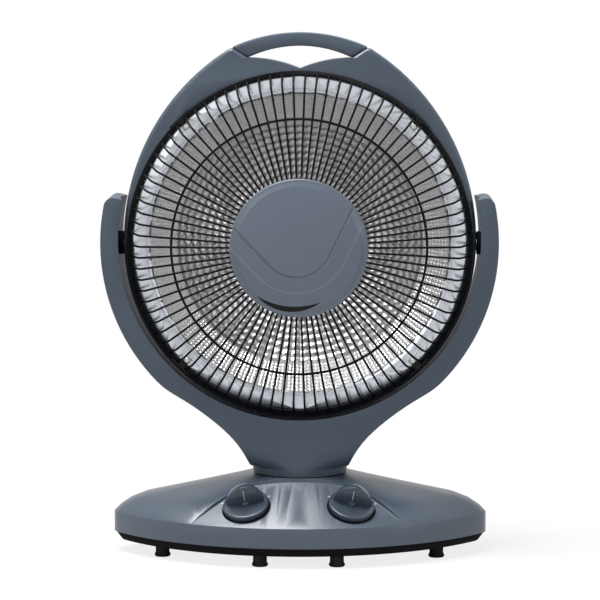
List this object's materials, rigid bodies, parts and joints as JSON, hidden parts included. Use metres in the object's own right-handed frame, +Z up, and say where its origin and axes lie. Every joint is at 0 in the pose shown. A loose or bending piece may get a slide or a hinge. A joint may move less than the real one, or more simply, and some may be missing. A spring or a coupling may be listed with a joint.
{
  "type": "tabletop heater",
  "caption": "Dish heater on a wide base: a guarded reflector tilts in a swinging yoke, with an arched carrying handle, a heat knob and a timer knob.",
  "frame": {"origin": "on the table, under the middle of the base and the neck", "axes": "+X to the right seen from the front, +Y to the back, +Z up; the dish faces -Y"},
  "size_m": [0.3548, 0.196, 0.4686],
  "materials": {
    "housing_plastic": "satin moulded",
    "base_plastic": "satin moulded",
    "black_plastic": "matte moulded",
    "knob_plastic": "satin moulded",
    "rubber": "matte",
    "guard_enamel": "satin black",
    "bright_aluminium": "polished",
    "plated_steel": "zinc plated",
    "zinc_clip": "zinc plated",
    "ceramic": "glazed",
    "resistance_wire": "oxidised",
    "gear_plastic": "natural acetal",
    "bush_plastic": "natural acetal",
    "switch_plastic": "moulded"
  },
  "bodies": {
    "base": {"base_cover": "base_plastic", "base_plate": "black_plastic", "base_screws": "plated_steel", "rubber_feet": "rubber", "ballast_plate": "plated_steel", "cord_inlet": "black_plastic", "terminal_block": "ceramic", "neck_bush": "bush_plastic", "glide_ring": "bush_plastic", "swing_motor": "plated_steel", "tip_switch": "switch_plastic", "heat_switch_body": "switch_plastic", "timer_body": "switch_plastic", "knob_wells": "black_plastic"},
    "yoke": {"yoke_front_shell": "housing_plastic", "yoke_rear_shell": "housing_plastic", "yoke_screws": "plated_steel", "tilt_pin_left": "plated_steel", "tilt_pin_right": "plated_steel", "tilt_washer_left": "black_plastic", "tilt_washer_right": "black_plastic", "neck_spindle": "plated_steel", "neck_gear": "gear_plastic", "spindle_retainer": "plated_steel"},
    "head": {"front_housing": "housing_plastic", "rear_cover": "housing_plastic", "rear_screws": "plated_steel", "handle": "housing_plastic", "reflector": "bright_aluminium", "heat_shield": "plated_steel", "guard_outer_ring": "guard_enamel", "guard_wires": "guard_enamel", "guard_middle_ring": "guard_enamel", "guard_hub_plate": "guard_enamel", "centre_cap": "housing_plastic", "hub_screws": "plated_steel", "guard_clips": "zinc_clip", "clip_screws": "zinc_clip", "element_core": "ceramic", "heating_coil": "resistance_wire", "element_socket": "ceramic", "element_terminals": "plated_steel", "thermal_cutout": "switch_plastic", "tilt_bush_left": "bush_plastic", "tilt_bush_right": "bush_plastic"},
    "heat_knob": {"heat_knob": "knob_plastic", "heat_shaft": "plated_steel"},
    "timer_knob": {"timer_knob": "knob_plastic", "timer_shaft": "plated_steel"},
    "tip_plunger": {"tip_plunger": "black_plastic"},
    "swing_pinion": {"motor_pinion": "gear_plastic", "motor_shaft": "plated_steel"}
  },
  "joints": [
    {"name": "yoke_swing", "type": "hinge", "parent": "base", "child": "yoke", "pos_m": [0, 0, 0.0734], "axis": [0, 0, 1], "range_deg": [-35, 35]},
    {"name": "pinion_spin", "type": "hinge", "parent": "base", "child": "swing_pinion", "pos_m": [-0.048, 0, 0.06], "axis": [0, 0, 1], "range_deg": [-106, 106]},
    {"name": "head_tilt", "type": "hinge", "parent": "yoke", "child": "head", "pos_m": [0, 0, 0.28], "axis": [1, 0, 0], "range_deg": [-30, 20]},
    {"name": "heat_knob_turn", "type": "hinge", "parent": "base", "child": "heat_knob", "pos_m": [-0.0465, -0.068, 0.04982], "axis": [-0.1309, -0.4843, 0.865], "range_deg": [-150, 0]},
    {"name": "timer_knob_turn", "type": "hinge", "parent": "base", "child": "timer_knob", "pos_m": [0.0465, -0.068, 0.04982], "axis": [0.1309, -0.4843, 0.865], "range_deg": [-300, 0]},
    {"name": "tip_plunger_slide", "type": "slide", "parent": "base", "child": "tip_plunger", "axis": [0, 0, -1], "range_m": [0, 0.004], "stiffness_N_per_m": 50, "springref_m": 0.005}
  ],
  "couplings": [
    {"joint": "pinion_spin", "follows": "yoke_swing", "ratio": -3}
  ]
}
